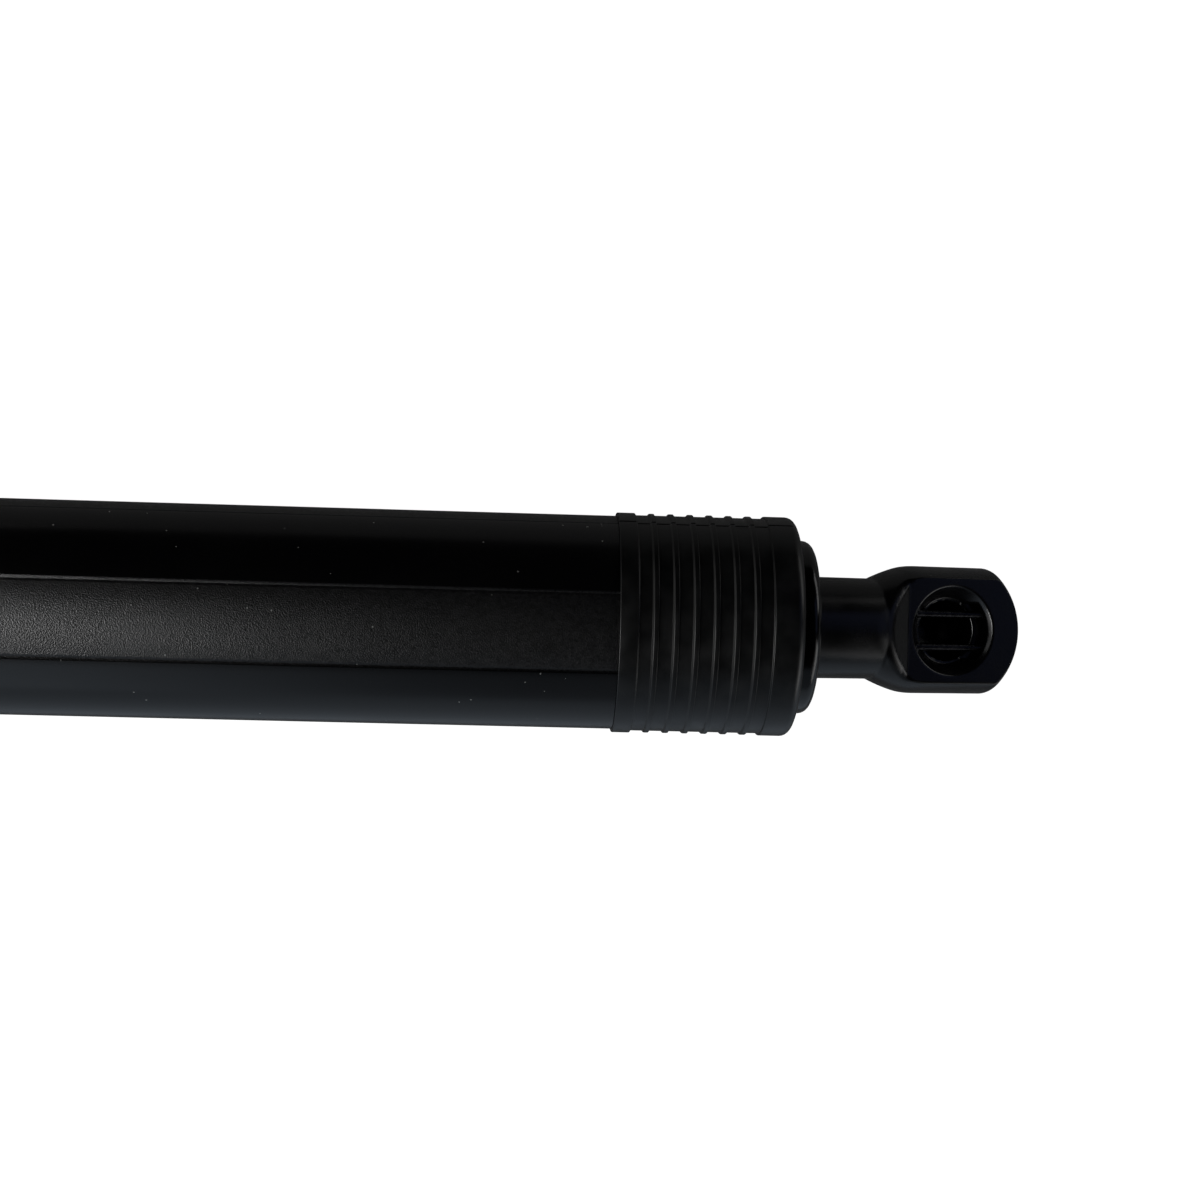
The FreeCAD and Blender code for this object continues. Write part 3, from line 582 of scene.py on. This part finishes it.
def placedFitting(points, fitting):
    # Cants points about Y at the seat, gives the lower fitting its half turn, and moves them.
    cant = math.radians(fitting["cant"])
    x = points[:, 0] * math.cos(cant) + points[:, 2] * math.sin(cant)
    z = points[:, 2] * math.cos(cant) - points[:, 0] * math.sin(cant)
    side = -1.0 if fitting["turned"] else 1.0
    return np.stack((side * x + fitting["seat"], side * points[:, 1], z), 1)


def makeSocket(name, fitting):
    # The surface where the socket's distance is zero, carried to its end of the strut.
    cant = math.radians(fitting["cant"])
    margin = socket["margin"]
    side = socket["head"] + margin
    points, faces = distanceSurface(
        lambda x, y, z: socketDistance(x, y, z, cant),
        (-socket["spigotLength"] - margin, -side, -socket["halfHeight"]),
        (socket["reach"] + socket["dome"] + margin, side, socket["halfHeight"]), gridStep(socket["grid"]))
    meshPiece(
        name + "BallSocket", placedFitting(points, fitting), faces, fitting["body"],
        glassNylon, [name + "_ball_socket"], sharpAngle=50.0)


def makeClip(name, fitting):
    # The wire's path: an arm, a round corner, the bow, a round corner and the other arm.
    bow = socket["reach"] + clip["bow"]
    tip = socket["reach"] - clip["armReach"]
    offset = socket["armOffset"]
    corner = clip["corner"]
    arm = np.linspace(tip, bow - corner, clip["armPoints"])
    bend = np.linspace(0, math.pi / 2, clip["cornerPoints"])[1:]
    x = np.concatenate((arm, bow - corner + corner * np.sin(bend)))
    y = np.concatenate((np.full(len(arm), -offset), -offset + corner * (1 - np.cos(bend))))
    path = np.stack((np.concatenate((x, x[::-1])), np.concatenate((y, -y[::-1]))), 1)
    path = np.concatenate((path, np.full((len(path), 1), socket["clipHeight"])), 1)
    points, rows = wireAlong(path, clip["wire"], clip["sides"])
    faces = cappedFaces(rows, clip["sides"])
    meshPiece(
        name + "Clip", placedFitting(points, fitting), faces, fitting["clipBody"],
        springWire, [name + "_clip"], sharpAngle=60.0)


for fittingName, fitting in fittings.items():
    makeSocket(fittingName, fitting)
    makeClip(fittingName, fitting)
print("ball sockets and clips made")


# Body end: housing tube, end cap and cable gland

housing = {"start": 44.0, "end": 384.9, "radius": 15.2, "bore": 13.6, "edge": 0.4, "jointEdge": 0.15}
cap = {
    "face": 23.3, "shoulder": 44.0, "radius": 15.2, "edge": 1.1, "plug": 13.6, "plugBore": 11.5,
    "plugEnd": 56.0, "floor": 32.0, "spigotHole": 4.65, "spigotDepth": 6.5, "cutEdge": 0.3, "overlap": 1.0,
    "margin": 1.0, "grid": 0.36}
gland = {
    "x": 38.0, "inner": 11.0, "seat": 14.2, "flange": 1.6, "outer": 19.0, "neck": 4.0, "flangeRadius": 5.4,
    "bore": 2.6, "hole": 4.0, "pocket": 5.7, "edge": 0.35, "boreEdge": 0.2}

turnedPiece("housingTube", [
    (housing["start"], housing["radius"], housing["jointEdge"]),
    (housing["end"], housing["radius"], housing["edge"]),
    (housing["end"], housing["bore"], housing["edge"]), (housing["start"], housing["bore"], 0)],
    "motor_side", coatedSteel, ["housing_tube"])


def capDistance(x, y, z):
    # Distance to the end cap: a round cap with a plug in the housing, hollow above its floor,
    # with the socket's hole in its face and the gland's stepped hole in its side.
    fromAxis = np.hypot(y, z)
    head = blendMax(fromAxis - cap["radius"], cap["face"] - x, cap["edge"])
    head = np.maximum(head, x - cap["shoulder"])
    plugRod = np.maximum(cap["face"] + cap["overlap"] - x, x - cap["plugEnd"])
    plugRod = np.maximum(fromAxis - cap["plug"], plugRod)
    body = np.minimum(head, plugRod)
    hollow = np.maximum(fromAxis - cap["plugBore"], cap["floor"] - x)
    spigotHole = np.maximum(fromAxis - cap["spigotHole"], x - cap["face"] - cap["spigotDepth"])
    fromGland = np.hypot(x - gland["x"], z)
    glandHole = np.maximum(fromGland - gland["hole"], -y)
    glandPocket = np.maximum(fromGland - gland["pocket"], gland["seat"] - y)
    cuts = np.minimum(np.minimum(hollow, spigotHole), np.minimum(glandHole, glandPocket))
    return blendMax(body, -cuts, cap["cutEdge"])


def alongGland(points):
    # Turns a shape about X into one about the gland's own Y line.
    return np.stack((gland["x"] + points[:, 1], points[:, 0], points[:, 2]), 1)


capReach = cap["radius"] + cap["margin"]
capPoints, capQuads = distanceSurface(
    capDistance, (cap["face"] - cap["margin"], -capReach, -capReach),
    (cap["plugEnd"] + cap["margin"], capReach, capReach), gridStep(cap["grid"]))
meshPiece(
    "endCap", capPoints, capQuads, "motor_side", capNylon, ["lower_end_cap"], sharpAngle=50.0)
turnedPiece("cableGland", [
    (gland["inner"], gland["bore"], gland["boreEdge"]), (gland["inner"], gland["neck"], gland["edge"]),
    (gland["seat"], gland["neck"], 0), (gland["seat"], gland["flangeRadius"], gland["edge"]),
    (gland["seat"] + gland["flange"], gland["flangeRadius"], gland["edge"]),
    (gland["seat"] + gland["flange"], gland["neck"], gland["edge"]),
    (gland["outer"], gland["neck"], gland["edge"]), (gland["outer"], gland["bore"], gland["edge"])],
    "motor_side", blackRubber, ["cable_gland"], place=alongGland)
print("body end made")


# Carried-over CAD nodes and their finishes

finishes = {
    "sensor_board": maskedBoard, "motor_can": platedSheet, "motor_end_bell": paleAcetal,
    "motor_brushes": pressedCarbon, "motor_magnets": pressedFerrite,
    "ring_gear_sleeve": darkMoulding, "brake_housing": darkMoulding,
    "spindle_support": darkMoulding, "bearing_outer_ring": turnedSteel, "guide_tube": drawnTube,
    "guide_bush": paleAcetal, "motor_shaft": turnedSteel, "armature_core": stackedSheet,
    "armature_windings": enamelledCopper, "commutator": enamelledCopper, "sensor_magnet": pressedFerrite,
    "first_sun_gear": turnedSteel, "first_carrier": turnedSteel, "second_sun_gear": turnedSteel,
    "second_carrier": turnedSteel, "spindle": turnedSteel, "brake_rotor": turnedSteel,
    "bearing_inner_ring": turnedSteel, "spindle_tip_bush": paleAcetal, "spindle_nut": paleAcetal,
    "push_tube": drawnTube, "cover_guide_ring": paleAcetal,
    **{"planet_" + stage + "_" + str(number): sinteredSteel
       for stage in ("first", "second") for number in (1, 2, 3)}}
for node, material in finishes.items():
    mesh = nodes[node].data
    mesh.materials.clear()
    mesh.materials.append(material)
    mesh.polygons.foreach_set("material_index", np.zeros(len(mesh.polygons), np.int32))
print("inner pieces finished")


# Lift spring: a helix whose end coils stand on the spindle support and the lid-end plug

spring = {
    "start": 178.5, "end": 412.9, "wire": 1.3, "mean": 11.3, "turns": 34, "endGap": 0.1,
    "pointsPerTurn": 28, "sides": 10}


def makeSpring():
    # The helix rises evenly between its ends, where one nearly closed coil has a lesser rise.
    turns = np.linspace(0, spring["turns"], spring["turns"] * spring["pointsPerTurn"] + 1)
    wire = spring["wire"]
    endRise = 2 * (wire + spring["endGap"])
    share = np.clip((turns - 1) / (spring["turns"] - 2), 0, 1)
    closed = np.minimum(turns, 1) + np.maximum(turns - spring["turns"] + 1, 0)
    rise = spring["end"] - spring["start"] - 2 * wire - 2 * endRise
    x = spring["start"] + wire + rise * share + endRise * closed
    angle = 2 * math.pi * turns
    path = np.stack((x, spring["mean"] * np.cos(angle), spring["mean"] * np.sin(angle)), 1)
    ahead = np.gradient(path, axis=0)
    ahead /= np.linalg.norm(ahead, axis=1)[:, None]
    outward = np.stack((np.zeros(len(angle)), np.cos(angle), np.sin(angle)), 1)
    across = np.cross(ahead, outward)
    around = np.linspace(0, 2 * math.pi, spring["sides"], endpoint=False)
    points = path[:, None] + wire * (
        outward[:, None] * np.cos(around)[None, :, None] + across[:, None] * np.sin(around)[None, :, None])
    faces = cappedFaces(len(path), spring["sides"])
    piece = meshPiece(
        "liftSpring", points.reshape(-1, 3), faces, "motor_side", phosphatedWire,
        ["lift_spring"], sharpAngle=60.0)
    piece.parent = None
    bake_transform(piece)


makeSpring()
print("lift spring made")


# Floor, backdrop glow, light cards, lamps and camera

# Cards and lamps are placed in metres. A card with two strengths fades between them along X.
stage = {
    "floor": -17.85, "floorGap": 0.3, "glowGap": 0.2, "size": 3.0, "floorColour": "e6e6e6",
    "floorPatch": 250.0, "glow": 1.0, "fade": (0.1, 0.4),
    "cards": {
        "wallCard": {
            "low": (-0.7, -0.75, -0.018), "high": (0.95, -0.75, 0.5),
            "strength": (0.62, 0.15), "colour": "e2f0ff"},
        "tableCard": {
            "low": (-0.7, -0.75, -0.018), "high": (1.4, -0.032, -0.018),
            "strength": 0.33, "colour": "e2f0ff"},
        "nearEndCard": {
            "low": (-0.55, -0.9, -0.018), "high": (-0.55, 0.9, 0.9), "strength": 0.7, "colour": "ffffff"},
        "farDiagonalCard": {
            "low": (2.5, 0.5, -0.018), "high": (2.5, 3.0, 0.7), "strength": 1.3, "colour": "ffffff"},
        "nearDiagonalCard": {
            "low": (2.5, -3.0, -0.018), "high": (2.5, -0.5, 0.9), "strength": 1.7, "colour": "ffffff"},
        "nearHighCard": {
            "low": (2.5, -3.0, 0.91), "high": (2.5, -0.5, 1.6), "strength": 0.35, "colour": "ffffff"},
        "farTableCard": {
            "low": (0.15, 0.03, -0.018), "high": (0.56, 0.8, -0.018), "strength": 0.08, "colour": "ffffff"},
        "nearEndTableCard": {
            "low": (-0.5, 0.03, -0.018), "high": (0.14, 0.8, -0.018),
            "strength": (0.5, 0.08), "colour": "ffffff"},
        "farEndTableCard": {
            "low": (0.57, -0.03, -0.018), "high": (1.4, 0.8, -0.018), "strength": 0.13, "colour": "ffffff"}},
    "lamps": {
        "window": {
            "place": (0.0, -0.25, 0.5), "target": (0.36, -0.25, 0.0), "size": (0.58, 0.12), "power": 2.8,
            "colour": "ffffff"},
        "side": {
            "place": (0.88, 0.14, 0.36), "target": (0.45, 0.0, 0.0), "size": (0.4, 0.25), "power": 0.045,
            "colour": "b4c4ff"}}}
view = {
    "place": (0.37918, 0.00465, 0.28703), "turn": (-0.0045, -0.0495, 0.0269), "focalLength": 1766.4,
    "imageSize": 1200, "sensor": 36.0}


def floorMaterial():
    # Matt painted board, with a barely visible unevenness.
    material, tree = newMaterial("boardPaintedMatt", stage["floorColour"])
    place = addNode(tree, "ShaderNodeTexCoord").outputs["Object"]
    uneven = addNode(tree, "ShaderNodeTexNoise", {"Scale": perMetre(stage["floorPatch"])}, {
        "Vector": place})
    rough = addNode(tree, "ShaderNodeMapRange", {"To Min": 0.85, "To Max": 0.95}, {
        "Value": uneven.outputs["Fac"]})
    shader = addNode(tree, "ShaderNodeBsdfPrincipled", {"Base Color": linearColour(stage["floorColour"])}, {
        "Roughness": rough.outputs["Result"]})
    addNode(tree, "ShaderNodeOutputMaterial", {}, {"Surface": shader.outputs["BSDF"]})
    return material


def glowMaterial(strength):
    # A clear sheet that adds white light to the floor seen through it.
    material, tree = newMaterial("backdropGlow", "ffffff")
    clear = addNode(tree, "ShaderNodeBsdfTransparent")
    glow = addNode(tree, "ShaderNodeEmission", {"Strength": strength})
    both = addNode(tree, "ShaderNodeAddShader", {}, {0: clear.outputs[0], 1: glow.outputs[0]})
    addNode(tree, "ShaderNodeOutputMaterial", {}, {"Surface": both.outputs[0]})
    return material


def cardMaterial(name, card):
    # Light of one strength, or of two with an even change between them along X.
    material, tree = newMaterial(name, card["colour"])
    glow = addNode(tree, "ShaderNodeEmission", {"Color": linearColour(card["colour"])})
    if isinstance(card["strength"], tuple):
        start, end = stage["fade"]
        startLight, endLight = card["strength"]
        place = addNode(tree, "ShaderNodeTexCoord").outputs["Object"]
        along = addNode(tree, "ShaderNodeSeparateXYZ", {}, {0: place}).outputs["X"]
        light = addNode(tree, "ShaderNodeMapRange", {
            "From Min": start, "From Max": end, "To Min": startLight, "To Max": endLight}, {"Value": along})
        tree.links.new(light.outputs["Result"], glow.inputs["Strength"])
    else:
        glow.inputs["Strength"].default_value = card["strength"]
    addNode(tree, "ShaderNodeOutputMaterial", {}, {"Surface": glow.outputs[0]})
    return material


def stageSheet(name, low, high, material, unseenBy):
    # A rectangle with the two given corners that is square to one of the axes.
    low = np.array(low)
    high = np.array(high)
    first, second = np.eye(3)[low != high] * (high - low)[low != high][:, None]
    mesh = bpy.data.meshes.new(name)
    mesh.from_pydata([low, low + first, high, low + second], [], [(0, 1, 2, 3)])
    mesh.materials.append(material)
    sheet = bpy.data.objects.new(name, mesh)
    bpy.context.scene.collection.objects.link(sheet)
    for ray in unseenBy:
        setattr(sheet, "visible_" + ray, False)


half = stage["size"] / 2
floorLevel = (stage["floor"] - stage["floorGap"]) * millimetre
glowLevel = floorLevel + stage["glowGap"] * millimetre
stageSheet("floor", (-half, -half, floorLevel), (half, half, floorLevel), floorMaterial(), ())
stageSheet(
    "backdropGlow", (-half, -half, glowLevel), (half, half, glowLevel), glowMaterial(stage["glow"]),
    ("diffuse", "glossy", "transmission", "volume_scatter", "shadow"))
for name, card in stage["cards"].items():
    # A card that lies on the floor is seen only in reflections.
    lying = card["low"][2] == card["high"][2]
    hidden = ("camera", "shadow")
    if lying:
        hidden += ("diffuse", "transmission", "volume_scatter")
    stageSheet(name, card["low"], card["high"], cardMaterial(name, card), hidden)

for name, lamp in stage["lamps"].items():
    data = bpy.data.lights.new(name, "AREA")
    data.shape = "RECTANGLE"
    data.size, data.size_y = lamp["size"]
    data.energy = lamp["power"]
    data.color = linearColour(lamp["colour"])[:3]
    light = bpy.data.objects.new(name, data)
    bpy.context.scene.collection.objects.link(light)
    light.location = lamp["place"]
    aim = Vector(lamp["target"]) - Vector(lamp["place"])
    light.rotation_euler = aim.to_track_quat("-Z", "Y").to_euler()
    # The lamps show in reflections alone, and the standing cards light the matt floor.
    light.visible_diffuse = False

world = bpy.data.worlds.new("paleRoom")
world.use_nodes = True
world.node_tree.nodes["Background"].inputs["Color"].default_value = linearColour("ffffff")
for ray in ("diffuse", "glossy", "transmission", "scatter"):
    setattr(world.cycles_visibility, ray, False)
bpy.context.scene.world = world
bpy.context.scene.view_settings.view_transform = "Standard"

cameraData = bpy.data.cameras.new("camera")
cameraData.sensor_width = view["sensor"]
cameraData.lens = view["focalLength"] / view["imageSize"] * view["sensor"]
cameraData.clip_start = 0.01
camera = bpy.data.objects.new("camera", cameraData)
bpy.context.scene.collection.objects.link(camera)
turn = Vector(view["turn"])
camera.rotation_mode = "QUATERNION"
camera.rotation_quaternion = Quaternion(turn.normalized(), turn.length)
camera.location = view["place"]
bpy.context.scene.camera = camera
print("stage made")
